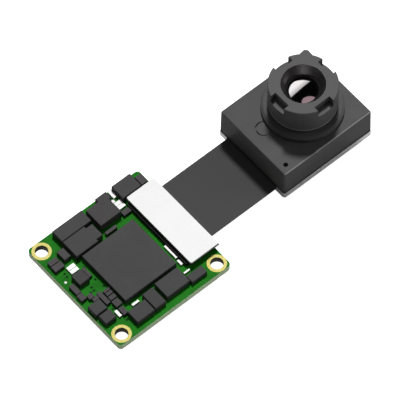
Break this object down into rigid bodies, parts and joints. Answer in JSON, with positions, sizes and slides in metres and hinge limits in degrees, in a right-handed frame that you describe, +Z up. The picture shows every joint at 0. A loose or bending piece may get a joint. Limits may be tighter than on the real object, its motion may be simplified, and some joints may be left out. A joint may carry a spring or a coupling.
{
  "type": "thermal camera module",
  "caption": "Square green circuit board joined by a short flat flex to a dark box-shaped camera head with a round notched lens barrel standing on it.",
  "frame": {"origin": "middle of the circuit board's underside", "axes": "+X from the board along the flex to the camera head, +Z up along the lens axis, out of the lens"},
  "size_m": [0.051, 0.021, 0.0147],
  "materials": {
    "solder_mask": "green solder mask over glass-fibre board",
    "gold_plating": "thin gold plating, satin",
    "chip_plastic": "moulded dark epoxy, matte",
    "white_ceramic": "white glazed ceramic",
    "connector_plastic": "black moulded plastic",
    "contact_gold": "gold plated contacts",
    "flex_film": "dark grey film, satin",
    "white_stiffener": "white board, smooth",
    "plate_metal": "pale grey satin metal",
    "gasket_rubber": "black rubber, matte",
    "head_metal": "dark grey, fine matte coating",
    "barrel_metal": "dark grey anodised, satin",
    "ring_metal": "black anodised, matte",
    "lens_crystal": "polished dark infrared glass with a thin coating",
    "window_crystal": "polished grey crystal",
    "package_ceramic": "dark ceramic",
    "sensor_silicon": "polished silicon"
  },
  "bodies": {
    "root": {"base_plate": "plate_metal", "board_socket": "connector_plastic", "ceramic_chips": "white_ceramic", "circuit_board": "solder_mask", "clock_oscillator": "chip_plastic", "converter_chip": "chip_plastic", "driver_chip": "chip_plastic", "edge_chips": "chip_plastic", "filter_chip": "chip_plastic", "flash_chip": "chip_plastic", "flex_cable": "flex_film", "flex_plug": "connector_plastic", "flex_stiffener": "white_stiffener", "front_lens": "lens_crystal", "front_lens_ring": "ring_metal", "head_frame": "plate_metal", "head_gasket": "gasket_rubber", "head_housing": "head_metal", "host_connector": "connector_plastic", "host_contacts": "contact_gold", "interface_chip": "chip_plastic", "lens_barrel": "barrel_metal", "logic_chip": "chip_plastic", "memory_chip": "chip_plastic", "plated_holes": "gold_plating", "power_converter": "chip_plastic", "power_inductor": "chip_plastic", "processor_chip": "chip_plastic", "rear_lens": "lens_crystal", "rear_lens_ring": "ring_metal", "regulator_chip": "chip_plastic", "sense_chip": "chip_plastic", "sensor_die": "sensor_silicon", "sensor_package": "package_ceramic", "sensor_window": "window_crystal", "small_capacitors": "chip_plastic", "socket_contacts": "contact_gold", "supply_chip": "chip_plastic"}
  },
  "joints": []
}
